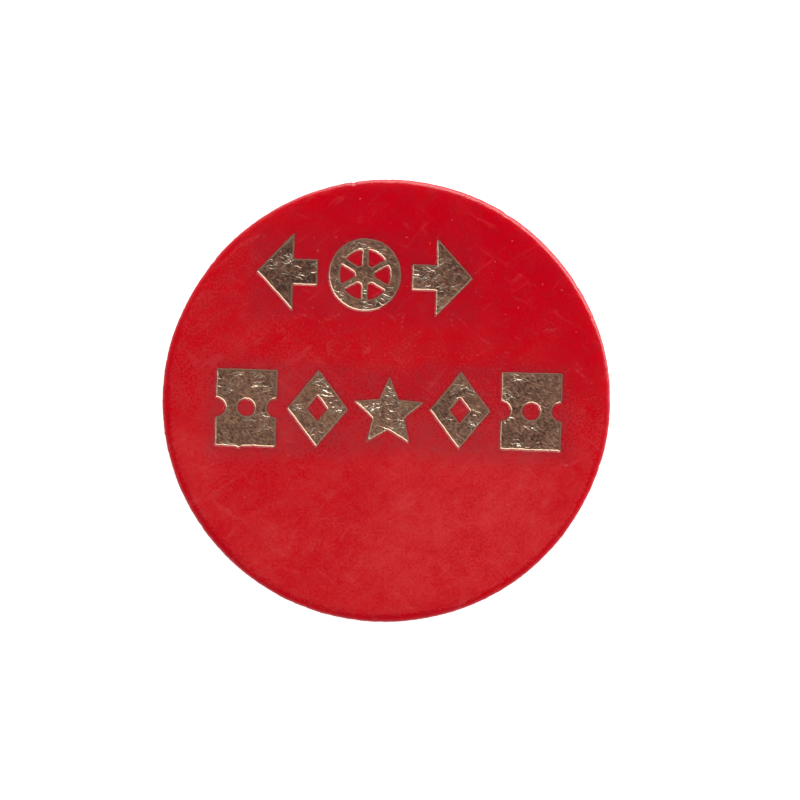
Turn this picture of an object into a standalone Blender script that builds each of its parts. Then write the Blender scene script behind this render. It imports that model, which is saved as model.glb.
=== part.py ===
"""Transit token: a punched plastic disc with eight marks of gold foil hot-stamped into one face.

Frame: the token lies on its back face with the stamped face up. The origin is the middle of the
back face, +X runs to the right along the rows of marks, +Y to the top of the token and +Z out of
the stamped face.

Pieces: the blank is one disc, sunk where the hot type pressed into it. Each mark left a film of
foil of its own on the floor of its recess. The marks are plain ornaments: a wheel between two
arrows, above a star between diamonds and tickets.

An outline here is a list of loops of (x, y) points in metres, around the mark's own centre. The
first loop runs anticlockwise round the outside. The others run clockwise round the holes, so the
material is on the left of every loop.
"""

import math

import bmesh
import bpy
from mathutils import Matrix, Vector

MM = 0.001

# The blank, punched from sheet. The punch left it a little oval.
DIAMETER = 38.1 * MM
THICKNESS = 1.6 * MM
EDGE_RADIUS = 0.45 * MM
OUT_OF_ROUND = 0.0063  # how far the long radius is over the mean one and the short one under it
LONG_AXIS_ANGLE = math.radians(12.5)
RIM_SIDES = 144
EDGE_STEPS = 4

# The stamping. The film lies on the recess floor, a hair clear of the plastic all round.
STAMP_DEPTH = 0.15 * MM
FOIL_THICKNESS = 0.05 * MM
FOIL_CLEARANCE = 0.03 * MM
CUTTER_OVERRUN = 0.5 * MM  # how far a cutter stands out of the stamped face

# The marks, sized like type: one height, one stroke.
MARK_HEIGHT = 6.6 * MM
MARK_WIDTH = 5.2 * MM
STROKE = 1.35 * MM
MARK_TILT = math.radians(-1.6)
WHEEL_RADIUS = 3.1 * MM
WHEEL_RIM = 0.95 * MM
WHEEL_HUB_RADIUS = 0.85 * MM
WHEEL_SPOKES = 6
SPOKE_WIDTH = 0.55 * MM
STAR_RADIUS = 3.1 * MM
STAR_POINTS = 5
STAR_INNER_SHARE = 0.46  # the inner corners' radius as a share of the tips'
ARROW_SHAFT = 2.2 * MM
ARROW_HEAD_SHARE = 0.6  # the head's share of the arrow's length
TICKET_NOTCH_RADIUS = 0.85 * MM
TICKET_HOLE_RADIUS = 0.75 * MM
CIRCLE_SIDES = 60

# The rows were set by hand, so each has its own slope.
UPPER_ROW_START = Vector((-8.47 * MM, 11.03 * MM))
UPPER_ROW_PITCH = 6.64 * MM
UPPER_ROW_SLOPE = math.radians(-2.4)
LOWER_ROW_START = Vector((-11.99 * MM, -0.60 * MM))
LOWER_ROW_PITCH = 6.09 * MM
LOWER_ROW_SLOPE = math.radians(-0.8)

PLASTIC_COLOUR = (0.56, 0.012, 0.02, 1.0)
FOIL_COLOUR = (0.62, 0.42, 0.22, 1.0)


# --- outlines -----------------------------------------------------------------------------------


def polar(radius, angle):
    return Vector((radius * math.cos(angle), radius * math.sin(angle)))


def arc(radius, start, end, steps, centre=Vector((0, 0))):
    """Points along an arc, both ends included."""
    return [centre + polar(radius, start + (end - start) * i / steps) for i in range(steps + 1)]


def grown_loop(loop, distance):
    """The loop with its sides moved to their right, which is away from the material."""
    moved = []
    for i, point in enumerate(loop):
        arriving = (point - loop[i - 1]).normalized()
        leaving = (loop[(i + 1) % len(loop)] - point).normalized()
        normals = Vector((arriving.y, -arriving.x)), Vector((leaving.y, -leaving.x))
        moved.append(point + (normals[0] + normals[1]) * distance / (1 + normals[0].dot(normals[1])))
    return moved


def hollow(loop):
    """A frame one stroke wide, with the loop as its outside."""
    return [loop, grown_loop(loop, -STROKE)[::-1]]


def diamond():
    x, y = MARK_WIDTH / 2, MARK_HEIGHT / 2
    return hollow([Vector(p) for p in ((x, 0), (0, y), (-x, 0), (0, -y))])


def ticket():
    """An upright ticket: a notch in the middle of each long side, and a round punched hole."""
    x, y = MARK_WIDTH / 2, MARK_HEIGHT / 2
    steps = CIRCLE_SIDES // 6
    right_notch = arc(TICKET_NOTCH_RADIUS, 1.5 * math.pi, 0.5 * math.pi, steps, Vector((x, 0)))
    right_side = [Vector((x, -y))] + right_notch + [Vector((x, y))]
    left_side = [-point for point in right_side]
    hole = arc(TICKET_HOLE_RADIUS, 2 * math.pi, 0, CIRCLE_SIDES // 2)[:-1]
    return [right_side + left_side, hole]


def star():
    radii = STAR_RADIUS, STAR_RADIUS * STAR_INNER_SHARE
    step = math.pi / STAR_POINTS
    loop = [polar(radii[i % 2], math.pi / 2 + i * step) for i in range(2 * STAR_POINTS)]
    middle = (max(p.y for p in loop) + min(p.y for p in loop)) / 2
    return [[p - Vector((0, middle)) for p in loop]]


def arrow(direction):
    """A solid arrow, pointing to +X with direction 1 and to -X with direction -1."""
    tip, shaft = MARK_WIDTH / 2, ARROW_SHAFT / 2
    barb = tip - MARK_WIDTH * ARROW_HEAD_SHARE
    upper = [(tip, 0), (barb, MARK_HEIGHT / 2), (barb, shaft), (-tip, shaft)]
    lower = [(x, -y) for x, y in reversed(upper[1:])]
    loop = [Vector((direction * x, y)) for x, y in upper + lower]
    return [loop if direction > 0 else loop[::-1]]


def left_arrow():
    return arrow(-1)


def right_arrow():
    return arrow(1)


def wheel():
    """A rim, a hub and straight spokes: one hole between each two spokes."""
    loops = [arc(WHEEL_RADIUS, 0, 2 * math.pi, CIRCLE_SIDES)[:-1]]
    outer, inner = WHEEL_RADIUS - WHEEL_RIM, WHEEL_HUB_RADIUS
    half_outer, half_inner = (math.asin(SPOKE_WIDTH / 2 / radius) for radius in (outer, inner))
    step = 2 * math.pi / WHEEL_SPOKES
    for i in range(WHEEL_SPOKES):
        start, end = math.pi / 2 + i * step, math.pi / 2 + (i + 1) * step
        under_rim = arc(outer, end - half_outer, start + half_outer, CIRCLE_SIDES // WHEEL_SPOKES)
        over_hub = arc(inner, start + half_inner, end - half_inner, 3)
        loops.append(under_rim + over_hub)
    return loops


def row(start, pitch, slope, marks):
    """(name, outline, centre) of each mark in a row."""
    along = polar(pitch, slope)
    return [(name, shape, start + along * i) for i, (name, shape) in enumerate(marks)]


MARKS = row(
    UPPER_ROW_START,
    UPPER_ROW_PITCH,
    UPPER_ROW_SLOPE,
    [("left_arrow", left_arrow), ("wheel", wheel), ("right_arrow", right_arrow)],
) + row(
    LOWER_ROW_START,
    LOWER_ROW_PITCH,
    LOWER_ROW_SLOPE,
    [
        ("left_ticket", ticket),
        ("left_diamond", diamond),
        ("star", star),
        ("right_diamond", diamond),
        ("right_ticket", ticket),
    ],
)


# --- objects ------------------------------------------------------------------------------------


def material(name, colour, roughness, metallic):
    made = bpy.data.materials.new(name)
    made.use_nodes = True
    shader = made.node_tree.nodes["Principled BSDF"]
    shader.inputs["Base Color"].default_value = colour
    shader.inputs["Roughness"].default_value = roughness
    shader.inputs["Metallic"].default_value = metallic
    return made


def collection(name):
    made = bpy.data.collections.new(name)
    bpy.context.scene.collection.children.link(made)
    return made


def plate(name, outline, thickness, into):
    """A flat plate of this outline, centred on its own XY plane, as a 2D curve."""
    curve = bpy.data.curves.new(name, "CURVE")
    curve.dimensions = "2D"
    curve.fill_mode = "BOTH"
    curve.extrude = thickness / 2
    for loop in outline:
        spline = curve.splines.new("POLY")
        spline.points.add(len(loop) - 1)
        for place, point in zip(spline.points, loop):
            place.co = (point.x, point.y, 0, 1)
        spline.use_cyclic_u = True
    made = bpy.data.objects.new(name, curve)
    into.objects.link(made)
    return made


def place_mark(made, centre, z):
    made.location = (centre.x, centre.y, z)
    made.rotation_euler = (0, 0, MARK_TILT)


def as_mesh(curve_object):
    """The curve's evaluated shape as a mesh object with its caps welded on, in the curve's place."""
    bpy.context.view_layer.update()
    graph = bpy.context.evaluated_depsgraph_get()
    mesh = bpy.data.meshes.new_from_object(curve_object.evaluated_get(graph))
    shape = bmesh.new()
    shape.from_mesh(mesh)
    bmesh.ops.remove_doubles(shape, verts=shape.verts, dist=FOIL_CLEARANCE / 100)
    shape.to_mesh(mesh)
    shape.free()
    name, place = curve_object.name, curve_object.matrix_world.copy()
    homes = list(curve_object.users_collection)
    bpy.data.objects.remove(curve_object)
    made = bpy.data.objects.new(name, mesh)
    made.matrix_world = place
    for home in homes:
        home.objects.link(made)
    return made


def make_cutters(into):
    """One cutter for each mark: its outline with the film's clearance, down to the recess floor."""
    depth = STAMP_DEPTH + CUTTER_OVERRUN
    for name, shape, centre in MARKS:
        outline = [grown_loop(loop, FOIL_CLEARANCE) for loop in shape()]
        cutter = plate(name + "_type", outline, depth, into)
        place_mark(cutter, centre, THICKNESS - STAMP_DEPTH + depth / 2)
        cutter = as_mesh(cutter)
        cutter.hide_render = True
        cutter.display_type = "WIRE"


def make_blank(cutters, into):
    """The oval disc with rounded edges, less the recesses that the type pressed into it."""
    bpy.ops.mesh.primitive_cylinder_add(
        vertices=RIM_SIDES,
        radius=DIAMETER / 2,
        depth=THICKNESS,
        location=(0, 0, THICKNESS / 2),
    )
    blank = bpy.context.object
    blank.name = "token_blank"
    for home in list(blank.users_collection):
        home.objects.unlink(blank)
    into.objects.link(blank)
    turn = Matrix.Rotation(LONG_AXIS_ANGLE, 4, "Z")
    oval = Matrix.Diagonal((1 + OUT_OF_ROUND, 1 - OUT_OF_ROUND, 1, 1))
    blank.data.transform(turn @ oval)
    blank.data.shade_smooth()
    blank.data.set_sharp_from_angle(angle=math.radians(60))

    rounded = blank.modifiers.new("rounded_edges", "BEVEL")
    rounded.width = EDGE_RADIUS
    rounded.segments = EDGE_STEPS
    rounded.limit_method = "ANGLE"
    rounded.angle_limit = math.radians(60)

    stamped = blank.modifiers.new("stamped_recesses", "BOOLEAN")
    stamped.operation = "DIFFERENCE"
    stamped.operand_type = "COLLECTION"
    stamped.collection = cutters
    stamped.solver = "EXACT"
    blank.data.materials.append(material("red_plastic", PLASTIC_COLOUR, 0.4, 0.0))
    return blank


def make_foils(blank, into):
    """One film for each mark, fixed to the blank and lying on its recess floor."""
    foil = material("gold_foil", FOIL_COLOUR, 0.35, 1.0)
    middle = THICKNESS - STAMP_DEPTH + FOIL_CLEARANCE + FOIL_THICKNESS / 2
    for name, shape, centre in MARKS:
        film = plate("foil_" + name, shape(), FOIL_THICKNESS, into)
        place_mark(film, centre, middle)
        film.parent = blank
        film.matrix_parent_inverse = blank.matrix_world.inverted()
        film.data.materials.append(foil)


def main():
    for old in list(bpy.data.objects):
        bpy.data.objects.remove(old)
    token = collection("transit_token")
    cutters = collection("stamping_type")
    make_cutters(cutters)
    blank = make_blank(cutters, token)
    bpy.context.view_layer.update()
    make_foils(blank, token)


main()
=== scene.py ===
"""Transit token: the looks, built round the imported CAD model.

The blank and the eight foil films are replaced by fine meshes in the same place. Their outlines,
radii and heights are read from the CAD nodes. All modelling is in millimetres, in the CAD frame,
and turns into metres when a mesh is made. The main number behind every relief is the depth inside
a mark's outline: positive on the foil, zero on its edge and negative on the plastic round it.
"""

import math

import bpy
import numpy as np
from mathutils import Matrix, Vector
from mathutils.geometry import delaunay_2d_cdt
from mathutils.kdtree import KDTree


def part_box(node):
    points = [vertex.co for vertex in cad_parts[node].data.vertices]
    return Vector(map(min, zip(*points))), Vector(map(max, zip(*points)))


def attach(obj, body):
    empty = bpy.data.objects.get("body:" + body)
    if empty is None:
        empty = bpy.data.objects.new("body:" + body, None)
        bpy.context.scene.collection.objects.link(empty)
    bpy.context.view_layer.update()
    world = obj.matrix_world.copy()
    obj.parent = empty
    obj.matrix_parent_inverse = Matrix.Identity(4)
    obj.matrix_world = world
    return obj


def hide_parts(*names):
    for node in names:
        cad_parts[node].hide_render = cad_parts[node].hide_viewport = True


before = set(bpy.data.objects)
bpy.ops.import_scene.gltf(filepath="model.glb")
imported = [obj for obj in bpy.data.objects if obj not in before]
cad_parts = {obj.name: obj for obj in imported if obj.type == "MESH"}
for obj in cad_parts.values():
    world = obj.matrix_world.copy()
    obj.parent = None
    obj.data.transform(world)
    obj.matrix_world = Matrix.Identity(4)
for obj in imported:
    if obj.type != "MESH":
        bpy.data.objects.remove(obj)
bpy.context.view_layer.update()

MM = 0.001
BODY = "root"
WELD = 1e-4  # points of a CAD mesh this close, in mm, are one
TOP_BAND = 1e-3  # how far under its highest point a CAD film's top face may lie, in mm
NOISE_CELLS = 256  # lumps, after which noise repeats
NOISE_START = 1000  # lumps, enough to keep the number of every cell positive
MIN_LOOP_POINTS = 8
ROW_SHARE = 0.97  # a row's points keep at least this share of its distance from the outline
HULL = 0  # the kind of triangulation that fills the convex hull
HULL_TOLERANCE = 1e-7

# Sizes are in mm. A noise is given as its strength, the size of its lumps and its number of layers,
# and on the blank its seed follows. A pair without a note of its own is the least and the most.

# The film in each recess: a flat floor and a sloping wall up to an edge just under the face.
STEP = 0.034  # between points along an outline and on the film
BACK_FILM_STEP = 0.3
FILM = 0.02
LIP = 0.012  # how far the film's edge lies under the face
WALL = 0.14  # how wide the sloping wall looks from above
WALL_ROWS = (0.023, 0.047, 0.07, 0.093, 0.117, 0.14)
HIDDEN_ROWS = WALL_ROWS[1::2]  # enough of them for the sides that don't show
FLOOR_DEPTH = 0.064  # how far the film's floor lies under the face
CORNER_PASSES = 8  # rounds of averaging that soften an outline's corners
EDGE_WAVER = (0.025, 1.1, 1)
EDGE_BEAD = (0.018, 0.18, 1)
OUTLINE_SEED_STEP = 10
FIRST_FILM_SEED = 100
FILM_SEED_STEP = 40

# Where a film tore unevenly at its edge: node, place in its box as shares, reach and width in mm.
TEARS = (
    ("foil_left_ticket", 0.38, 0.0, 0.17, 0.2),
    ("foil_left_ticket", 0.62, 0.0, -0.06, 0.35),
    ("foil_right_ticket", 0.95, 0.0, 0.08, 0.15),
    ("foil_wheel", 0.7, 0.02, 0.05, 0.2),
)

# How light each film's bronze is and how many clusters of creases it has.
TONES = {
    "foil_left_arrow": (0.05, 7),
    "foil_wheel": (0.5, 12),
    "foil_right_arrow": (0.3, 7),
    "foil_left_ticket": (0.7, 12),
    "foil_left_diamond": (0.9, 11),
    "foil_star": (0.85, 14),
    "foil_right_diamond": (0.5, 9),
    "foil_right_ticket": (0.55, 11),
}

# Relief on a film's floor: lumps, clusters of creases, and flecks all over it. A ridge's steepness
# is its height as a share of its width.
RELIEF_START = 0.04  # how far inside the outline the relief begins to grow
LUMPS = (0.004, 0.3, 3)
SMALL_LUMPS = (0.0035, 0.09, 1)
SMALL_LUMPS_SEED = 7  # added to the film's own seed
RIDGE_WAVE_LENGTH = 0.08  # for each radian of the wave
RIDGE_FADE = (0.2, 0.5)  # where a ridge starts to fade and where it ends, as shares of its length
CREASES = (3, 8)  # in a cluster, the second not reached
CREASE_SPREAD = 0.3
CREASE_LEAN = 0.1  # the angle, in radians, that ridges tend to run at
CLUSTER_TURN = 0.45
CREASE_TURN = 0.25
CREASE_WIDTH = (0.022, 0.036)
CREASE_STEEPNESS = (0.5, 0.85)
CREASE_LENGTH = (0.35, 1.3)
CREASE_WAVE = (0.01, 0.04)
FLECKS = 110
FLECK_TURN = 0.7
FLECK_WIDTH = (0.022, 0.034)
FLECK_STEEPNESS = (0.15, 0.5)
FLECK_LENGTH = (0.1, 0.24)

# What the foil's colours depend on.
WORN_SHEEN_HEIGHT = 0.015  # a ridge this high has the full bright colour, partly patina lost and partly a painted highlight
THIN_RIM = 0.04  # how wide the thin foil at the outline is
STRETCHED_START = (0.0, 0.02)  # how far inside the outline the wall's stretched foil begins
STRETCHED_END = (WALL + 0.03, WALL - 0.01)  # and ends
PATCHES = (0.3, 1.6, 3)
PATCHES_SEED = 20  # added to the film's own seed

# The blank: its recesses and the face round them.
RECESS = 0.11  # from the face to the plastic under the film
FILM_GAP = 0.006
SHOULDER = 0.09  # how wide the plastic rounds over at a recess
SHOULDER_ROWS = (0.02, 0.045, 0.07, 0.1, 0.15, 0.24)
HALO = 1.3  # how far round a mark the hot type changed the plastic
HALO_SHARE = 0.7  # how strong the change is at the mark's edge
CELL_SHARE = 0.6  # how strong it is all over the rectangle round a mark
CELL_HALO = 2.2  # how far round the rectangle it reaches
CELL_FADE_START = -0.5  # under 0, so it has already weakened a little at the rectangle's side
SINK = 0.012  # how far the plastic sank round a mark
BERM = 0.006  # how high it rose again in a low ridge
BERM_PLACE = 0.14  # how far outside the mark the ridge is
BERM_WIDTH = 0.07
FACE_WAVES = (0.006, 5.0, 3, 90)
SMALL_FACE_WAVES = (0.0015, 1.2, 1, 95)
FACE_WAVES_FADE = 0.6  # how far inside the rounded edge they reach full height
FACE_STEP = 0.22
CLEAR_OF_ROWS = 0.1  # how far the face's honeycomb stays from the rows beside an outline
EDGE_ROWS = (0.07, 0.18, 0.32, 0.5)  # mesh rows on the flat face, just inside the rounded edge

# The back.
BACK_STEP = 0.5
BACK_ROW = 0.99  # where a mesh row beside the flat back's outline lies, as a share of its radius
DENTS = (0.008, 4.0, 3, 40)
DENTS_LEVEL = 0.0024  # the more, the more of the back is dented and the less is flat
DENTS_FADE = 1.0  # how far inside the rounded edge they reach full depth

# The edge.
EDGE_RADIUS = 0.45
EDGE_SQUARENESS = 7.0  # 2 is a round edge, and more is a flatter one with a tighter turn
ROLL = 0.2  # how far the punch drew the face down at its edge
ROLL_WIDTH = 1.4
ROLL_POWER = 3.0  # above 1, the face is drawn down mostly close to the rim
RIM_POINTS = 1100
RIM_SHARE = 0.97  # a CAD point this share of the largest radius out is on the wall
UPRIGHT_SHARE = 0.9  # nearer to face or back than this share of the edge's radius, it is rounded
ROUND_RINGS = 12
LOWER_RINGS = 6
SIDE_RINGS = 5
RING_CROWDING = 2  # above 1, rings of the rounded edge lie closer together towards the wall
RAGGED = (0.012, 0.22, 1, 8)
RAGGED_DRIFT = (0.6, 0.2)  # how far the ragged texture moves for each mm of height
RAGGED_FULL = 0.3  # within this share of the edge's radius from the rim, it is fully ragged
SMALL_TEARS = (0.012, 0.25, 1, 5)
LONG_TEARS = (0.015, 1.4, 1, 6)

# Wear and painted light. The rubbing, partly real and partly a painted sheen, follows a slope
# from 1 at the top of the face, and a little more at the upper right, to -1 at the bottom.
SLOPE_LEAN = 0.25
SLOPE_TWIST = 0.4
SLOPE_NOISE = (0.12, 6.0, 3, 61)
SLOPE_RANGE = (0.95, -0.6)  # where rubbing and painted sheen begin and where they are full
SLOPE_SHARE = 0.76
RUBBED_SHEEN_SPOT = (8.0, -12.0)  # the middle of a place with more rubbing and painted sheen
RUBBED_SHEEN_SPOT_SIZE = 9.0
RUBBED_SHEEN_SPOT_SHARE = 0.24
KEPT = 0.34  # how far inside the rim the rolled edge lies too low for rubbing and painted sheen
KEPT_NOISE = (0.12, 3.0, 1, 71)
KEPT_FADE = 0.4
CORNER = (0.3, 0.12)  # how far inside the rim the pale corner, partly wear and partly a painted reflection, begins and is full
CORNER_LEVEL = 0.8
CORNER_NOISE = (0.2, 0.5, 1, 72)
# A painted shade line: a dark band down the punched wall, at the rim.
EDGE_SHADE = 0.3
EDGE_SHADE_REACH = 0.08  # how far inside the rim it ends
EDGE_SHADE_TOP = (1.3, 1.1)  # the heights where it begins, coming down the wall, and is full

# Four flats and then nine small chips in the rim, as degrees round, depth and width. The one with
# a negative depth is a burr.
CHIPS = (
    (40.0, 0.09, 8.0),
    (85.0, 0.03, 6.0),
    (150.0, 0.07, 3.0),
    (330.0, 0.07, 3.5),
    (98.5, 0.09, 0.16),
    (57.0, 0.05, 0.3),
    (31.0, 0.03, 0.15),
    (1.0, 0.05, 0.35),
    (343.0, 0.05, 0.2),
    (262.0, 0.03, 0.25),
    (214.0, 0.04, 0.2),
    (188.4, -0.06, 0.12),
    (141.0, 0.03, 0.25),
)


# --- numbers ------------------------------------------------------------------------------------


def smooth_step(low, high, value):
    share = np.clip((value - low) / (high - low), 0, 1)
    return share * share * (3 - 2 * share)


def bell(value, width):
    return np.exp(-((value / width) ** 2))


def soft_noise(points, size, seed):
    """Smooth noise from -1 to 1 at 2D points, with lumps of about this size."""
    table = np.random.default_rng(seed).uniform(-1, 1, (NOISE_CELLS, NOISE_CELLS))
    cell = points / size + NOISE_START
    low = np.floor(cell).astype(int)
    share = cell - low
    share = share * share * (3 - 2 * share)
    x0, y0 = low.T % NOISE_CELLS
    x1, y1 = (low.T + 1) % NOISE_CELLS
    near = table[x0, y0] * (1 - share[:, 0]) + table[x1, y0] * share[:, 0]
    far = table[x0, y1] * (1 - share[:, 0]) + table[x1, y1] * share[:, 0]
    return near * (1 - share[:, 1]) + far * share[:, 1]


def layered_noise(points, strength, size, layers, seed):
    """Smooth noise of this strength. Each layer is half as large and strong as the one before."""
    total = np.zeros(len(points))
    for layer in range(layers):
        total += soft_noise(points, size / 2**layer, seed + layer) / 2**layer
    return strength * total


def polar(radius, angle):
    return np.stack([radius * np.cos(angle), radius * np.sin(angle)], axis=-1)


def honeycomb(low, high, spacing):
    """Points in offset rows that fill the box from corner low to corner high."""
    rows = np.arange(low[1], high[1], spacing * math.sqrt(3) / 2)
    columns = np.arange(low[0], high[0], spacing)
    x, y = np.meshgrid(columns, rows)
    x = x + (np.arange(len(rows)) % 2)[:, None] * spacing / 2
    return np.stack([x.ravel(), y.ravel()], axis=1)


# --- outlines -----------------------------------------------------------------------------------


def cad_mesh(node):
    """Points of a CAD node in mm, with doubles merged, and its triangles."""
    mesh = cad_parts[node].data
    mesh.calc_loop_triangles()
    points = np.empty(len(mesh.vertices) * 3, np.float32)
    mesh.vertices.foreach_get("co", points)
    points = points.reshape(-1, 3).astype(float) / MM
    corners = np.empty(len(mesh.loop_triangles) * 3, np.int32)
    mesh.loop_triangles.foreach_get("vertices", corners)
    keys = np.round(points / WELD).astype(np.int64)
    _, first, same = np.unique(keys, axis=0, return_index=True, return_inverse=True)
    return points[first], same.reshape(-1)[corners].reshape(-1, 3)


def border(triangles):
    """The directed edges that only one triangle has, as a dict from point to next point."""
    sides = {(int(t[i]), int(t[(i + 1) % 3])) for t in triangles for i in range(3)}
    return {a: b for a, b in sides if (b, a) not in sides}


def cad_outline(node):
    """The loops round a film's top face, with the film on their left."""
    points, triangles = cad_mesh(node)
    top = points[:, 2].max() - TOP_BAND
    following = border(triangles[(points[triangles][:, :, 2] > top).all(axis=1)])
    loops = []
    while following:
        start = min(following)
        point = following.pop(start)
        loop = [start]
        while point != start:
            loop.append(point)
            point = following.pop(point)
        loops.append(points[loop, :2])
    return loops


def resampled(loop, spacing):
    """The loop with its points spread evenly."""
    closed = np.vstack([loop, loop[:1]])
    travelled = np.concatenate([[0], np.cumsum(np.linalg.norm(np.diff(closed, axis=0), axis=1))])
    count = max(MIN_LOOP_POINTS, round(travelled[-1] / spacing))
    places = np.arange(count) / count * travelled[-1]
    return np.stack([np.interp(places, travelled, closed[:, i]) for i in (0, 1)], axis=1)


def inward(loop):
    """The unit normals at a loop's points, pointing to its left."""
    along = np.roll(loop, -1, axis=0) - np.roll(loop, 1, axis=0)
    along = along / np.linalg.norm(along, axis=1)[:, None]
    return np.stack([-along[:, 1], along[:, 0]], axis=1)


class Outline:
    """Closed loops with the foil on their left, and how far any point is inside them."""

    def __init__(self, loops):
        self.loops = loops
        self.ends = np.vstack(loops)
        self.normals = np.vstack([inward(loop) for loop in loops])
        after = np.vstack([np.roll(loop, -1, axis=0) for loop in loops])
        before = np.vstack([np.roll(loop, 1, axis=0) for loop in loops])
        self.sides = (after - self.ends, before - self.ends)
        self.tree = KDTree(len(self.ends))
        for index, (x, y) in enumerate(self.ends):
            self.tree.insert((x, y, 0), index)
        self.tree.balance()

    def depth(self, points):
        """How far each point is inside the outline, negative outside."""
        nearest = np.array([self.tree.find((x, y, 0))[1] for x, y in points], int)
        offset = points - self.ends[nearest]
        gap = np.linalg.norm(offset, axis=1)
        for sides in self.sides:
            side = sides[nearest]
            share = np.clip((offset * side).sum(axis=1) / (side**2).sum(axis=1), 0, 1)
            gap = np.minimum(gap, np.linalg.norm(offset - side * share[:, None], axis=1))
        outside = (offset * self.normals[nearest]).sum(axis=1) < 0
        return np.where(outside, -gap, gap)

    def rows(self, distances, spacing_grows=False):
        """Points beside the outline at these distances, inwards where positive.

        A point that a corner brings nearer to the outline than its row is left out. If
        spacing_grows, each row has fewer points than the one before it.
        """
        rows = []
        for number, distance in enumerate(distances):
            skip = 1 + number // 2 if spacing_grows else 1
            for loop in self.loops:
                row = (loop + inward(loop) * distance)[::skip]
                near = np.abs(self.depth(row))
                rows.append(row[near > abs(distance) * ROW_SHARE])
        return np.vstack(rows)

    def grid(self, low, high, spacing, least_depth):
        """A honeycomb of points in this box that are at least so deep inside."""
        points = honeycomb(low, high, spacing)
        return points[self.depth(points) > least_depth]

    def triangulate(self, inner):
        """Points, triangles inside the outline only, and where its loops are in the points."""
        points, triangles, loop_places = triangulated(self.loops, inner)
        middles = points[triangles].mean(axis=1)
        return points, triangles[self.depth(middles) > 0], loop_places


def pressed_outline(node, seed):
    """The film's outline as the type left it: corners rounded, edges beaded and a little wavy."""
    low, high = (np.array(corner)[:2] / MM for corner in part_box(node))
    loops = []
    for loop in cad_outline(node):
        loop = resampled(loop, STEP)
        for _ in range(CORNER_PASSES):
            loop = (np.roll(loop, 1, axis=0) + 2 * loop + np.roll(loop, -1, axis=0)) / 4
        shift = layered_noise(loop, *EDGE_WAVER, seed) + layered_noise(loop, *EDGE_BEAD, seed + 1)
        for name, across, up, reach, width in TEARS:
            if name == node:
                place = low + (high - low) * (across, up)
                shift = shift - reach * bell(np.linalg.norm(loop - place, axis=1), width)
        loops.append(loop + inward(loop) * shift[:, None])
    return Outline(loops)


def triangulated(loops, inner):
    """Points, triangles and where the loops' points are among the points.

    The triangles fill the convex hull, with the loops among their edges.
    """
    points = np.vstack([*loops, inner])
    edges = []
    start = 0
    for loop in loops:
        indices = range(start, start + len(loop))
        edges += [(i, start + (i + 1 - start) % len(loop)) for i in indices]
        start += len(loop)
    made = delaunay_2d_cdt([Vector(p) for p in points], edges, [], HULL, HULL_TOLERANCE)
    place = {old: new for new, olds in enumerate(made[3]) for old in olds}
    loop_places = np.array([place[i] for i in range(start)])
    return np.array([tuple(p) for p in made[0]]), np.array(made[2]), loop_places


# --- meshes -------------------------------------------------------------------------------------


def new_piece(name, points, faces, values, material):
    """A mesh object from points in mm, with these named values at its points."""
    mesh = bpy.data.meshes.new(name)
    mesh.from_pydata((points * MM).tolist(), [], [[int(i) for i in face] for face in faces])
    for label, numbers in values.items():
        layer = mesh.attributes.new(label, "FLOAT", "POINT")
        layer.data.foreach_set("value", numbers.astype(np.float32))
    mesh.shade_smooth()
    mesh.materials.append(material)
    mesh.update()
    made = bpy.data.objects.new(name, mesh)
    bpy.context.scene.collection.objects.link(made)
    return made


def joined_sides(upper, upper_faces, upper_rim, lower, lower_faces, lower_rim):
    """One closed surface from an upper sheet and a lower one, whose rims match point by point."""
    partner = dict(zip(upper_rim, lower_rim + len(upper)))
    sides = [(b, a, partner[a], partner[b]) for a, b in border(upper_faces).items()]
    points = np.vstack([upper, lower])
    faces = upper_faces.tolist() + (lower_faces[:, ::-1] + len(upper)).tolist() + sides
    return points, faces


# --- the films ----------------------------------------------------------------------------------


def film_profile(depth, floor):
    """Height of the film's upper side: a lip, a sloping wall and a floor."""
    lip = FACE - LIP
    return lip - (lip - floor) * smooth_step(0, WALL, depth)


def ridge(points, place, angle, length, wide, tall, wave, phase):
    """Height of one little wavy ridge at each point."""
    height = np.zeros(len(points))
    near = np.abs(points - place).max(axis=1) < length
    offset = points[near] - place
    along = offset @ np.array([math.cos(angle), math.sin(angle)])
    across = offset @ np.array([-math.sin(angle), math.cos(angle)])
    across = across - wave * np.sin(along / RIDGE_WAVE_LENGTH + phase)
    fade = 1 - smooth_step(*RIDGE_FADE, np.abs(along) / length)
    height[near] = tall * fade * bell(across, wide)
    return height


def creases(points, rng, clusters):
    """Ridges in the film: clusters that run much the same way, and flecks all over it."""
    height = np.zeros(len(points))
    for _ in range(clusters):
        centre = points[rng.integers(len(points))]
        lean = rng.normal(CREASE_LEAN, CLUSTER_TURN)
        for _ in range(rng.integers(*CREASES)):
            place = centre + rng.normal(0, CREASE_SPREAD, 2)
            wide = rng.uniform(*CREASE_WIDTH)
            tall = wide * rng.uniform(*CREASE_STEEPNESS)
            length = rng.uniform(*CREASE_LENGTH)
            wave = rng.uniform(*CREASE_WAVE)
            phase = rng.uniform(0, 2 * math.pi)
            angle = lean + rng.normal(0, CREASE_TURN)
            height += ridge(points, place, angle, length, wide, tall, wave, phase)
    for _ in range(FLECKS):
        place = points[rng.integers(len(points))]
        wide = rng.uniform(*FLECK_WIDTH)
        tall = wide * rng.uniform(*FLECK_STEEPNESS)
        length = rng.uniform(*FLECK_LENGTH)
        angle = rng.normal(CREASE_LEAN, FLECK_TURN)
        height += ridge(points, place, angle, length, wide, tall, 0.0, 0.0)
    return height


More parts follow.
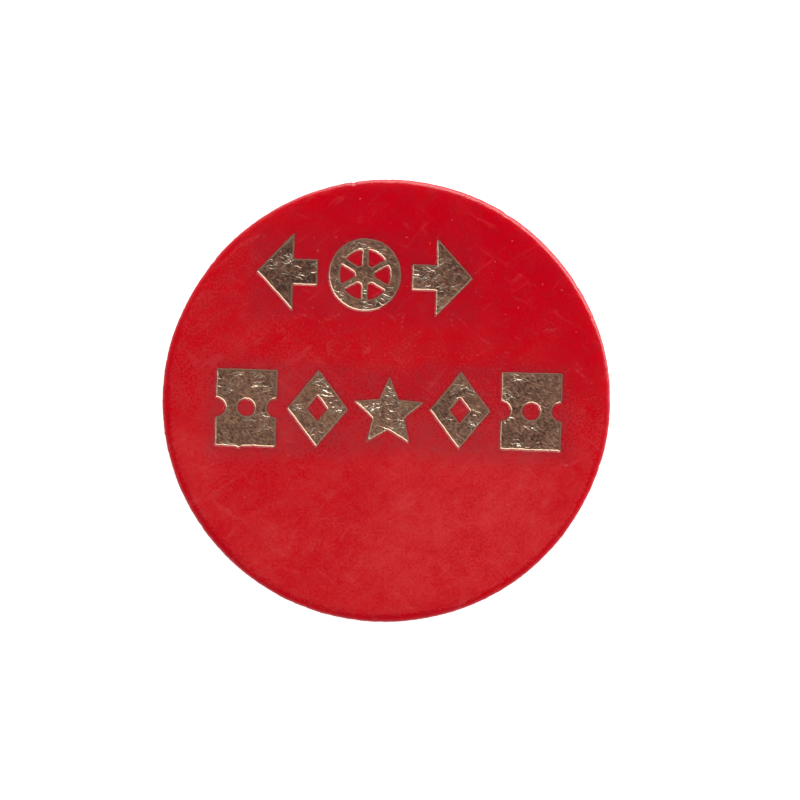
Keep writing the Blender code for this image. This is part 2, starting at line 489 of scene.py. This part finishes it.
def make_film(node, seed, material):
    low, high = (np.array(corner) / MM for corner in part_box(node))
    floor = FACE - FLOOR_DEPTH
    tone, clusters = TONES[node]
    rng = np.random.default_rng(seed)
    outline = OUTLINES[node]

    # The side that shows
    grid = outline.grid(low[:2] - STEP, high[:2] + STEP, STEP, WALL + STEP / 2)
    inner = np.vstack([outline.rows(WALL_ROWS), grid])
    upper, upper_faces, upper_rim = outline.triangulate(inner)
    depth = outline.depth(upper)
    on_floor = smooth_step(RELIEF_START, WALL, depth)
    ridges = creases(upper, rng, clusters)
    lumps = layered_noise(upper, *LUMPS, seed)
    lumps = lumps + layered_noise(upper, *SMALL_LUMPS, seed + SMALL_LUMPS_SEED)
    z = film_profile(depth, floor) + on_floor * (lumps + ridges)
    shown = {
        # Partly wear and partly a painted highlight: bright colour on the crease tops.
        "worn_and_sheen": np.clip(ridges / WORN_SHEEN_HEIGHT, 0, 1) * on_floor,
        "tone": tone + layered_noise(upper, *PATCHES, seed + PATCHES_SEED),
        "thin": bell(depth, THIN_RIM),
        "stretched": smooth_step(*STRETCHED_START, depth) * smooth_step(*STRETCHED_END, depth),
    }
    upper = np.column_stack([upper, z])

    # The side that lies on the plastic
    grid = outline.grid(low[:2], high[:2], BACK_FILM_STEP, WALL + BACK_FILM_STEP / 3)
    inner = np.vstack([outline.rows(HIDDEN_ROWS), grid])
    lower, lower_faces, lower_rim = outline.triangulate(inner)
    lower = np.column_stack([lower, film_profile(outline.depth(lower), floor) - FILM])

    points, faces = joined_sides(upper, upper_faces, upper_rim, lower, lower_faces, lower_rim)
    hidden = np.zeros(len(lower))
    values = {label: np.concatenate([numbers, hidden]) for label, numbers in shown.items()}
    piece = new_piece("visual_" + node, points, faces, values, material)
    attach(piece, BODY)
    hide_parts(node)


# --- the blank ----------------------------------------------------------------------------------


def rim_radius(angles):
    """The CAD blank's outer radius at these angles, from the upright part of its wall."""
    points, _ = cad_mesh("token_blank")
    radius = np.hypot(points[:, 0], points[:, 1])
    upright = np.abs(points[:, 2] - FACE / 2) < FACE / 2 - EDGE_RADIUS * UPRIGHT_SHARE
    wall = (radius > radius.max() * RIM_SHARE) & upright
    found = np.arctan2(points[wall, 1], points[wall, 0])
    return np.interp(angles, found, radius[wall], period=2 * math.pi)


def deepest(points):
    """How far each point is inside any mark's outline, and no less than minus HALO."""
    depth = np.full(len(points), -HALO)
    for outline in OUTLINES.values():
        near = (points > outline.ends.min(axis=0) - HALO).all(axis=1)
        near &= (points < outline.ends.max(axis=0) + HALO).all(axis=1)
        depth[near] = np.maximum(depth[near], outline.depth(points[near]))
    return depth


def in_cells(points):
    """How near each point is to a rectangle round a mark: almost 1 inside, 0 from CELL_HALO off."""
    share = np.zeros(len(points))
    for outline in OUTLINES.values():
        middle = (outline.ends.min(axis=0) + outline.ends.max(axis=0)) / 2
        half = (outline.ends.max(axis=0) - outline.ends.min(axis=0)) / 2
        outside = np.maximum(np.abs(points - middle) - half, 0)
        gap = np.linalg.norm(outside, axis=1)
        share = np.maximum(share, 1 - smooth_step(CELL_FADE_START, CELL_HALO, gap))
    return share


def rolled(from_edge):
    """How far the face is drawn down this far inside its edge."""
    return ROLL * np.clip(1 - from_edge / ROLL_WIDTH, 0, 1) ** ROLL_POWER


def face_height(points, depth, from_edge):
    """Height of the stamped side's plastic."""
    film_floor = FACE - RECESS + FILM_GAP + FILM
    under_film = film_profile(depth, film_floor) - FILM - FILM_GAP
    shoulder = (LIP + FILM + FILM_GAP) * smooth_step(-SHOULDER, 0, depth)
    sink = SINK * (1 - smooth_step(0, HALO, -depth))
    berm = BERM * bell(depth + BERM_PLACE, BERM_WIDTH)
    wave = layered_noise(points, *FACE_WAVES) + layered_noise(points, *SMALL_FACE_WAVES)
    wave = wave * smooth_step(EDGE_RADIUS, EDGE_RADIUS + FACE_WAVES_FADE, from_edge)
    outside = FACE - shoulder - sink + berm + wave - rolled(from_edge)
    return np.where(depth > 0, under_film, outside)


def rounding(rings):
    """How far inside the rim and how far below the face the rings of a rounded edge lie."""
    inside = EDGE_RADIUS * (1 - np.arange(1, rings + 1) / rings) ** RING_CROWDING
    level = (1 - (1 - inside / EDGE_RADIUS) ** EDGE_SQUARENESS) ** (1 / EDGE_SQUARENESS)
    return inside, EDGE_RADIUS * (1 - level)


def edge_profile():
    """How far inside the rim and how high each ring of the edge is, from face to back."""
    inside, drop = rounding(ROUND_RINGS)
    upper = FACE - drop - rolled(inside)
    wall = np.linspace(upper[-1], EDGE_RADIUS, SIDE_RINGS + 1)[1:-1]
    lower_inside, lower = rounding(LOWER_RINGS)
    heights = np.concatenate([upper, wall, lower[::-1]])
    return list(zip(np.concatenate([inside, np.zeros(len(wall)), lower_inside[::-1]]), heights))


def chipped(rim, angles):
    """How much the rim's radius changes where it is torn, flat, chipped or has a burr."""
    change = layered_noise(rim, *SMALL_TEARS) + layered_noise(rim, *LONG_TEARS)
    for degrees, deep, wide in CHIPS:
        turn = np.angle(np.exp(1j * (angles - math.radians(degrees))))
        change -= deep * bell(turn * np.linalg.norm(rim, axis=1), wide)
    return change


class Rim:
    """The blank's outline, as points at even angles."""

    def __init__(self):
        self.angles = np.arange(RIM_POINTS) / RIM_POINTS * 2 * math.pi
        self.radius = rim_radius(self.angles)
        self.reach = self.radius.max()

    def ring(self, inside=0.0):
        """Points this far inside the rim."""
        return polar(self.radius - inside, self.angles)

    def from_edge(self, points):
        """How far each point is inside the rim."""
        turn = np.arctan2(points[:, 1], points[:, 0])
        radius = np.interp(turn, self.angles, self.radius, period=2 * math.pi)
        return radius - np.hypot(*points.T)

    def grid(self, spacing, least):
        """A honeycomb of points that are more than this far inside the rim."""
        points = honeycomb((-self.reach, -self.reach), (self.reach, self.reach), spacing)
        return points[self.from_edge(points) > least]


def stamped_face(rim):
    """Points, faces, places of the rim's points and depths inside a mark, on the stamped side."""
    inner = [rim.ring(EDGE_RADIUS + inside) for inside in EDGE_ROWS]
    for outline in OUTLINES.values():
        inner.append(outline.rows([-row for row in SHOULDER_ROWS], spacing_grows=True))
        inner.append(outline.rows(HIDDEN_ROWS)[::2])  # every other point, as the film hides them
    grid = rim.grid(FACE_STEP, EDGE_RADIUS + EDGE_ROWS[-1] + FACE_STEP / 2)
    grid_depth = deepest(grid)
    clear_outside = grid_depth < -SHOULDER_ROWS[-1] - CLEAR_OF_ROWS
    clear_inside = grid_depth > WALL_ROWS[-1] + CLEAR_OF_ROWS
    inner.append(grid[clear_outside | clear_inside])
    mark_loops = [loop for outline in OUTLINES.values() for loop in outline.loops]
    flat, faces, places = triangulated([rim.ring(EDGE_RADIUS), *mark_loops], np.vstack(inner))
    depth = deepest(flat)
    points = np.column_stack([flat, face_height(flat, depth, rim.from_edge(flat))])
    return points, faces, places[:RIM_POINTS], depth


def plain_back(rim):
    """Points, faces and places of the rim's points, on the side that lies down."""
    edge = rim.ring(EDGE_RADIUS)
    grid = rim.grid(BACK_STEP, EDGE_RADIUS + BACK_STEP)
    flat, faces, places = triangulated([edge], np.vstack([edge * BACK_ROW, grid]))
    fade = smooth_step(EDGE_RADIUS, EDGE_RADIUS + DENTS_FADE, rim.from_edge(flat))
    dents = fade * (layered_noise(flat, *DENTS) + DENTS_LEVEL)
    return np.column_stack([flat, np.maximum(dents, 0)]), faces[:, ::-1], places


def punched_edge(rim):
    """The edge, as rings of points from the face down to the back."""
    rings = []
    for inside, height in edge_profile():
        outness = smooth_step(EDGE_RADIUS, EDGE_RADIUS * RAGGED_FULL, inside)
        drift = height * np.array(RAGGED_DRIFT)
        ragged = layered_noise(rim.ring() + drift, *RAGGED) + chipped(rim.ring(), rim.angles)
        place = polar(rim.radius - inside + outness * ragged, rim.angles)
        rings.append(np.column_stack([place, np.full(RIM_POINTS, height)]))
    return rings


def wear(points, rim):
    """Each point's rubbing with painted sheen, corner wear with painted reflection, and painted edge
    shade.
    """
    places = points[:, :2]
    inside = rim.from_edge(places)
    x, y = places.T / rim.reach
    slope = y + SLOPE_LEAN * x + SLOPE_TWIST * x * y + layered_noise(places, *SLOPE_NOISE)
    rubbed_sheen_spot = bell(np.linalg.norm(places - RUBBED_SHEEN_SPOT, axis=1), RUBBED_SHEEN_SPOT_SIZE)
    # Partly real rubbing and partly a painted sheen: paler towards the bottom of the face.
    rubbed_and_sheen = SLOPE_SHARE * smooth_step(*SLOPE_RANGE, slope) + RUBBED_SHEEN_SPOT_SHARE * rubbed_sheen_spot
    kept = KEPT + layered_noise(places, *KEPT_NOISE)
    corner = CORNER_LEVEL + layered_noise(places, *CORNER_NOISE)
    # Painted shade: a dark line down the wall near the rim.
    painted_edge_shade = EDGE_SHADE * smooth_step(EDGE_SHADE_REACH, 0.0, inside)
    return {
        "rubbed_and_sheen": rubbed_and_sheen * smooth_step(kept, kept + KEPT_FADE, inside),
        # Partly wear and partly a painted reflection: a paler band on the rim's rounding.
        "worn_and_sheen": smooth_step(*CORNER, inside) * corner,
        "painted_edge_shade": painted_edge_shade * smooth_step(*EDGE_SHADE_TOP, points[:, 2]),
    }


def make_blank(material):
    rim = Rim()
    upper, upper_faces, upper_rim, depth = stamped_face(rim)
    lower, lower_faces, lower_rim = plain_back(rim)
    rings = punched_edge(rim)
    points = np.vstack([upper, lower, *rings])
    first_ring = len(upper) + len(lower)
    loops = [upper_rim]
    loops += [first_ring + i * RIM_POINTS + np.arange(RIM_POINTS) for i in range(len(rings))]
    loops.append(lower_rim + len(upper))
    faces = upper_faces.tolist() + (lower_faces + len(upper)).tolist()
    for above, below in zip(loops, loops[1:]):
        quads = np.stack([above, below, np.roll(below, -1), np.roll(above, -1)], axis=1)
        faces += quads.tolist()

    halo = HALO_SHARE * (1 - smooth_step(0, HALO, -depth))
    pressed = np.maximum(halo, CELL_SHARE * in_cells(upper[:, :2]))
    values = {"pressed": np.concatenate([pressed, np.zeros(len(points) - len(upper))])}
    values.update(wear(points, rim))
    piece = new_piece("visual_token_blank", points, faces, values, material)
    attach(piece, BODY)
    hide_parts("token_blank")


# --- materials ----------------------------------------------------------------------------------

# Noises are given as Graph.noise takes them, and sums as the weight of each part, by its name.
NOISE_MIDDLE = 0.5
MIDDLE = (0.3, 0.7)  # where most of a noise lies
LINE_DETAIL = 1.0
LINE_TWIST = 0.3
BREAK_SIZE = 2.3  # times the size of the lines' own noise
BREAK_DETAIL = 2.0
BREAK_TURN = 1.0
BREAK_RANGE = (0.5, 0.62)

CLEAN_RED = (0.57, 0.0003, 0.0085, 1)
# Partly a painted sheen: the paler red towards the bottom of the face.
BLOOM_AND_SHEEN_RED = (0.66, 0.034, 0.035, 1)
# Partly a painted reflection: the paler red on the rim's rounded corner.
CORNER_SHEEN_RED = (0.52, 0.020, 0.032, 1)
PRESSED_RED = (0.40, 0.005, 0.016, 1)
PRESSED_RUBBED_SHEEN_RED = (0.31, 0.034, 0.037, 1)
PALE_MARK = (0.80, 0.13, 0.14, 1)
# The dark red of the painted shade line on the punched wall.
EDGE_SHADE_DARK = (0.06, 0.006, 0.008, 1)

CLOUD = {"size": 4.0}
MOTTLE = {"size": 1.0, "detail": 4.0, "stretch": (1, 1.3, 1), "turn": 0.6, "twist": 0.4, "roughness": 0.6}
PLASTIC_GRAIN = {"size": 0.2, "roughness": 0.7}
SPOTS_START = -0.31
SPOTS = {"cloud": 0.16, "mottle": 0.14, "grain": 0.32}
SPOTS_GROWTH = 1.5  # how much stronger the spots are where rubbing and painted sheen are
BLOOM_AND_SHEEN_START = 0.035
BLOOM_AND_SHEEN = {"spots": 1.0, "rubbed_and_sheen": 0.36}
PRESSED_SHARES = (0.6, 1.1)  # how strong the pressed colour is, by the mottle
HAZE = 0.4  # the same colour, faint, where rubbing and painted sheen are weak, so darker towards the top
WISPS = (
    {"size": 0.9, "stretch": (0.3, 1, 1), "turn": 0.7, "twist": 1.0},
    {"size": 0.7, "stretch": (0.25, 1, 1), "turn": -0.6, "twist": 1.2},
)
WISP_RANGE = (0.58, 0.75)
SCRATCHES = (
    {"size": 2.4, "width": 0.012, "turn": 0.45, "length": 5},
    {"size": 1.9, "width": 0.012, "turn": -0.7, "length": 6},
)
SPECKS = {"size": 0.3, "detail": 0.0}
SPECK_RANGE = (0.82, 0.88)
MARKS = {"specks": 3.0, "scratches": 0.4}
MARKS_SHARE = 0.09
EDGE_SHADE_NOISE = {"size": 0.5, "detail": 4.0}
EDGE_SHADE_SHARES = (0.6, 1.0)  # how strong the painted shade line is, by its noise
PLASTIC_ROUGHNESS = 0.14
ROUGHER = {"rubbed_and_sheen": 0.19, "grain": 0.07, "worn_and_sheen": 0.15, "bloom_and_sheen": 0.05, "marks": 0.05, "painted_edge_shade": 0.5}
PLASTIC_BUMPS = {"mottle": 0.8, "grain": 0.6, "scratches": -0.5}
PLASTIC_BUMP = (0.35, 0.008)  # strength and height
SUBSURFACE = 0.6
SUBSURFACE_RADIUS = (1.0, 0.08, 0.08)
SUBSURFACE_SCALE = 1.2

DARK_BRONZE = (0.17, 0.082, 0.061, 1)
LIGHT_BRONZE = (0.68, 0.36, 0.225, 1)
STRETCHED_BRONZE = (0.42, 0.26, 0.17, 1)
THIN_BRONZE = (0.42, 0.13, 0.09, 1)
# Partly a painted highlight on the crease tops.
BRIGHT_GOLD = (1.0, 0.84, 0.64, 1)

PATINA = {"size": 0.5, "detail": 4.0, "twist": 0.5}
STREAKS = {"size": 0.12, "stretch": (0.4, 1, 1), "turn": -0.6}
FOIL_GRAIN = {"size": 0.09, "detail": 2.0}
FOIL_TONE = {"streaks": 1.1, "patina": 0.8, "tone": 0.38}
FOIL_TONE_RANGE = (0.72, 1.6)
THIN_PATCHES = {"size": 0.8, "detail": 4.0, "twist": 0.3}
THIN_PATCHES_RANGE = (0.56, 0.68, 0.0, 0.5)  # of the noise, and what that turns into
THIN_SHARE = 0.9
STRETCHED_SHARE = 0.85
WORN_SHEEN_SHARE = 0.7
FOIL_METALLIC = 0.85
FOIL_ROUGHNESS = 0.2
FOIL_ROUGHER = {"streaks": 0.4, "worn_and_sheen": -0.12}
FOIL_BUMPS = {"grain": 0.5, "streaks": 1.0}
FOIL_BUMP = (0.8, 0.012)  # strength and height
FOIL_COAT = 0.3
FOIL_COAT_ROUGHNESS = 0.25


class Graph:
    """A material's node tree, with short ways to add to it."""

    def __init__(self, name):
        self.material = bpy.data.materials.new(name)
        self.material.use_nodes = True
        self.tree = self.material.node_tree
        self.shader = self.tree.nodes["Principled BSDF"]
        self.place = self.add("ShaderNodeTexCoord").outputs["Object"]

    def add(self, kind, settings=None, **inputs):
        """A node with these settings. An input is a number or the socket that feeds it."""
        node = self.tree.nodes.new(kind)
        for key, value in (settings or {}).items():
            setattr(node, key, value)
        for key, value in inputs.items():
            name = key.replace("_", " ")
            self.set(node.inputs[int(key[1:]) if key[1:].isdigit() else name], value)
        return node

    def set(self, socket, value):
        if isinstance(value, bpy.types.NodeSocket):
            self.tree.links.new(value, socket)
        else:
            socket.default_value = value

    def math(self, operation, first, second=0.0, third=0.0):
        node = self.add("ShaderNodeMath", {"operation": operation}, i0=first, i1=second, i2=third)
        return node.outputs[0]

    def total(self, start, weights, parts):
        """The start plus each weight times the part that has its name."""
        for name, weight in weights.items():
            start = self.math("MULTIPLY_ADD", parts[name], weight, start)
        return start

    def noise(self, size, detail=3.0, stretch=(1, 1, 1), turn=0.0, twist=0.0, roughness=0.5):
        """Noise from 0 to 1 with lumps of this size in mm. A stretch under 1 lengthens them."""
        place = self.add("ShaderNodeMapping", {"vector_type": "TEXTURE"}, Vector=self.place)
        place.inputs["Rotation"].default_value = (0, 0, turn)
        place.inputs["Scale"].default_value = [1 / share for share in stretch]
        node = self.add(
            "ShaderNodeTexNoise",
            Vector=place.outputs[0],
            Scale=1 / (size * MM),
            Detail=detail,
            Roughness=roughness,
            Distortion=twist,
        )
        return node.outputs["Fac"]

    def range(self, value, low, high, out_low=0.0, out_high=1.0):
        """The value with low..high spread smoothly over out_low..out_high."""
        node = self.add("ShaderNodeMapRange", {"interpolation_type": "SMOOTHSTEP"}, Value=value)
        for name, number in zip(
            ("From Min", "From Max", "To Min", "To Max"), (low, high, out_low, out_high)
        ):
            node.inputs[name].default_value = number
        return node.outputs[0]

    def mix(self, share, first, second):
        """A colour between two colours."""
        node = self.add("ShaderNodeMix", {"data_type": "RGBA"})
        self.set(node.inputs["Factor"], share)
        colours = [s for s in node.inputs if s.type == "RGBA"]
        self.set(colours[0], first)
        self.set(colours[1], second)
        return next(s for s in node.outputs if s.type == "RGBA")

    def value(self, name):
        return self.add("ShaderNodeAttribute", {"attribute_name": name}).outputs["Fac"]

    def lines(self, size, width, turn, length):
        """Thin broken lines: where stretched noise crosses its middle value."""
        stretched = self.noise(size, LINE_DETAIL, (1 / length, 1, 1), turn, LINE_TWIST)
        off_middle = self.math("ABSOLUTE", self.math("SUBTRACT", stretched, NOISE_MIDDLE))
        line = self.range(off_middle, 0.0, width, 1.0, 0.0)
        breaks = self.noise(size * BREAK_SIZE, BREAK_DETAIL, turn=turn + BREAK_TURN)
        return self.math("MULTIPLY", line, self.range(breaks, *BREAK_RANGE))

    def bump(self, height, strength, distance):
        node = self.add("ShaderNodeBump", Height=height, Strength=strength, Distance=distance * MM)
        return node.outputs[0]


def plastic_material():
    g = Graph("worn_red_plastic")
    parts = {name: g.value(name) for name in ("rubbed_and_sheen", "worn_and_sheen", "pressed", "painted_edge_shade")}
    for name, noise in (("cloud", CLOUD), ("mottle", MOTTLE), ("grain", PLASTIC_GRAIN)):
        parts[name] = g.range(g.noise(**noise), *MIDDLE)
    rubbed_and_sheen, mottle = parts["rubbed_and_sheen"], parts["mottle"]

    # A deep clean red, with paler spots, and paler still towards the bottom as rubbing and painted sheen
    spots = g.total(SPOTS_START, SPOTS, parts)
    growth = g.math("MULTIPLY_ADD", rubbed_and_sheen, SPOTS_GROWTH, 1.0)
    parts["spots"] = g.math("MULTIPLY", spots, growth)
    parts["bloom_and_sheen"] = g.total(BLOOM_AND_SHEEN_START, BLOOM_AND_SHEEN, parts)
    colour = g.mix(parts["bloom_and_sheen"], CLEAN_RED, BLOOM_AND_SHEEN_RED)
    # Paler at the rim's corner, partly wear and partly a painted reflection.
    colour = g.mix(parts["worn_and_sheen"], colour, CORNER_SHEEN_RED)

    # Darker and browner where the hot type pressed
    pressed = g.math("MULTIPLY", parts["pressed"], g.range(mottle, 0.0, 1.0, *PRESSED_SHARES))
    haze = g.math("MULTIPLY", mottle, g.math("MULTIPLY_ADD", rubbed_and_sheen, -HAZE, HAZE))
    pressed = g.math("MAXIMUM", pressed, haze)
    colour = g.mix(pressed, colour, g.mix(rubbed_and_sheen, PRESSED_RED, PRESSED_RUBBED_SHEEN_RED))

    # Pale wisps, straight scratches and specks
    wisps = g.math("ADD", *[g.range(g.noise(**noise), *WISP_RANGE) for noise in WISPS])
    scratches = g.math("ADD", *[g.lines(**lines) for lines in SCRATCHES])
    parts["scratches"] = g.math("MULTIPLY", scratches, rubbed_and_sheen)
    parts["specks"] = g.range(g.noise(**SPECKS), *SPECK_RANGE)
    parts["marks"] = g.total(wisps, MARKS, parts)
    colour = g.mix(g.math("MULTIPLY", parts["marks"], MARKS_SHARE), colour, PALE_MARK)

    # A painted shade line, dark, down the punched wall near the rim
    uneven = g.range(g.noise(**EDGE_SHADE_NOISE), *MIDDLE, *EDGE_SHADE_SHARES)
    parts["painted_edge_shade"] = g.math("MULTIPLY", parts["painted_edge_shade"], uneven)
    colour = g.mix(parts["painted_edge_shade"], colour, EDGE_SHADE_DARK)

    g.set(g.shader.inputs["Base Color"], colour)
    g.set(g.shader.inputs["Roughness"], g.total(PLASTIC_ROUGHNESS, ROUGHER, parts))
    height = g.total(0.0, PLASTIC_BUMPS, parts)
    g.set(g.shader.inputs["Normal"], g.bump(height, *PLASTIC_BUMP))
    g.shader.inputs["Subsurface Weight"].default_value = SUBSURFACE
    g.shader.inputs["Subsurface Radius"].default_value = SUBSURFACE_RADIUS
    g.shader.inputs["Subsurface Scale"].default_value = SUBSURFACE_SCALE * MM
    return g.material


def foil_material():
    g = Graph("bronze_foil")
    parts = {name: g.value(name) for name in ("tone", "worn_and_sheen", "thin", "stretched")}
    for name, noise in (("patina", PATINA), ("streaks", STREAKS), ("grain", FOIL_GRAIN)):
        parts[name] = g.noise(**noise)

    # Dark to light bronze, paler where stretched, reddish where thin, bright on ridges as wear and
    # painted highlight
    tone = g.range(g.total(0.0, FOIL_TONE, parts), *FOIL_TONE_RANGE)
    colour = g.mix(tone, DARK_BRONZE, LIGHT_BRONZE)
    stretched = g.math("MULTIPLY", parts["stretched"], STRETCHED_SHARE)
    colour = g.mix(stretched, colour, STRETCHED_BRONZE)
    thin = g.range(g.noise(**THIN_PATCHES), *THIN_PATCHES_RANGE)
    thin = g.math("MAXIMUM", thin, g.math("MULTIPLY", parts["thin"], THIN_SHARE))
    colour = g.mix(thin, colour, THIN_BRONZE)
    colour = g.mix(g.math("MULTIPLY", parts["worn_and_sheen"], WORN_SHEEN_SHARE), colour, BRIGHT_GOLD)

    g.set(g.shader.inputs["Base Color"], colour)
    g.set(g.shader.inputs["Roughness"], g.total(FOIL_ROUGHNESS, FOIL_ROUGHER, parts))
    g.set(g.shader.inputs["Normal"], g.bump(g.total(0.0, FOIL_BUMPS, parts), *FOIL_BUMP))
    g.shader.inputs["Metallic"].default_value = FOIL_METALLIC
    g.shader.inputs["Coat Weight"].default_value = FOIL_COAT
    g.shader.inputs["Coat Roughness"].default_value = FOIL_COAT_ROUGHNESS
    return g.material


# --- stage --------------------------------------------------------------------------------------

# The floor, the lamp and the camera's range are in metres, and the rest of the camera is in mm.
FLOOR_SIZE = 4.0
FLOOR_COLOUR = (0.6, 0.6, 0.6, 1)
FLOOR_ROUGHNESS = 0.9
FLOOR_GLOW = 0.9
WHITE = (1, 1, 1, 1)
KEY_AZIMUTH = math.radians(60)
KEY_ELEVATION = math.radians(40)
KEY_DISTANCE = 1.0
KEY_SIZE = (1.9, 0.5)
KEY_WATTS = 16.5
ZENITH_LIGHT = 0.0
HORIZON_LIGHT = 1.05
SKY_FADE = (0.1, 0.97)  # heights in the sky, from 0 at the horizon to 1 overhead
CAMERA_LENS = 200.0
SENSOR = 36.0
VIEW_WIDTH = 68.43  # across the picture at the widest part of the token
CAMERA_ASIDE = 1.16
CAMERA_UP = 0.05
CAMERA_RANGE = (0.01, 10)


def make_floor():
    bpy.ops.mesh.primitive_plane_add(size=FLOOR_SIZE)
    floor = bpy.context.object
    floor.name = "floor"
    paint = bpy.data.materials.new("pale_floor")
    paint.use_nodes = True
    shader = paint.node_tree.nodes["Principled BSDF"]
    shader.inputs["Base Color"].default_value = FLOOR_COLOUR
    shader.inputs["Roughness"].default_value = FLOOR_ROUGHNESS
    shader.inputs["Emission Color"].default_value = WHITE
    shader.inputs["Emission Strength"].default_value = FLOOR_GLOW
    floor.data.materials.append(paint)


def make_lights():
    """One long soft lamp from the upper right, in a room that is dark overhead."""
    key = bpy.data.lights.new("key", "AREA")
    key.shape = "RECTANGLE"
    key.size, key.size_y = KEY_SIZE
    key.energy = KEY_WATTS
    lamp = bpy.data.objects.new("key", key)
    level = math.cos(KEY_ELEVATION)
    towards = Vector(
        (math.cos(KEY_AZIMUTH) * level, math.sin(KEY_AZIMUTH) * level, math.sin(KEY_ELEVATION))
    )
    lamp.location = towards * KEY_DISTANCE
    lamp.rotation_euler = towards.to_track_quat("Z", "Y").to_euler()
    bpy.context.scene.collection.objects.link(lamp)

    world = bpy.data.worlds.new("soft_room")
    world.use_nodes = True
    nodes, links = world.node_tree.nodes, world.node_tree.links
    direction = nodes.new("ShaderNodeTexCoord")
    split = nodes.new("ShaderNodeSeparateXYZ")
    fade = nodes.new("ShaderNodeMapRange")
    fade.interpolation_type = "SMOOTHSTEP"
    fade.inputs["From Min"].default_value = SKY_FADE[0]
    fade.inputs["From Max"].default_value = SKY_FADE[1]
    fade.inputs["To Min"].default_value = HORIZON_LIGHT
    fade.inputs["To Max"].default_value = ZENITH_LIGHT
    links.new(direction.outputs["Generated"], split.inputs[0])
    links.new(split.outputs["Z"], fade.inputs["Value"])
    links.new(fade.outputs[0], nodes["Background"].inputs["Strength"])
    nodes["Background"].inputs["Color"].default_value = WHITE
    bpy.context.scene.world = world


def make_camera():
    camera = bpy.data.cameras.new("camera")
    camera.lens = CAMERA_LENS
    camera.sensor_width = SENSOR
    camera.clip_start, camera.clip_end = CAMERA_RANGE
    eye = bpy.data.objects.new("camera", camera)
    distance = VIEW_WIDTH * CAMERA_LENS / SENSOR
    eye.location = (CAMERA_ASIDE * MM, CAMERA_UP * MM, (FACE - EDGE_RADIUS + distance) * MM)
    bpy.context.scene.collection.objects.link(eye)
    bpy.context.scene.camera = eye
    bpy.context.scene.view_settings.view_transform = "Standard"


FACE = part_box("token_blank")[1].z / MM
FILM_NODES = sorted(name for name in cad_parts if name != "token_blank")
OUTLINES = {node: pressed_outline(node, OUTLINE_SEED_STEP * i) for i, node in enumerate(FILM_NODES)}

make_blank(plastic_material())
foil = foil_material()
for number, node in enumerate(FILM_NODES):
    make_film(node, FIRST_FILM_SEED + FILM_SEED_STEP * number, foil)
make_floor()
make_lights()
make_camera()
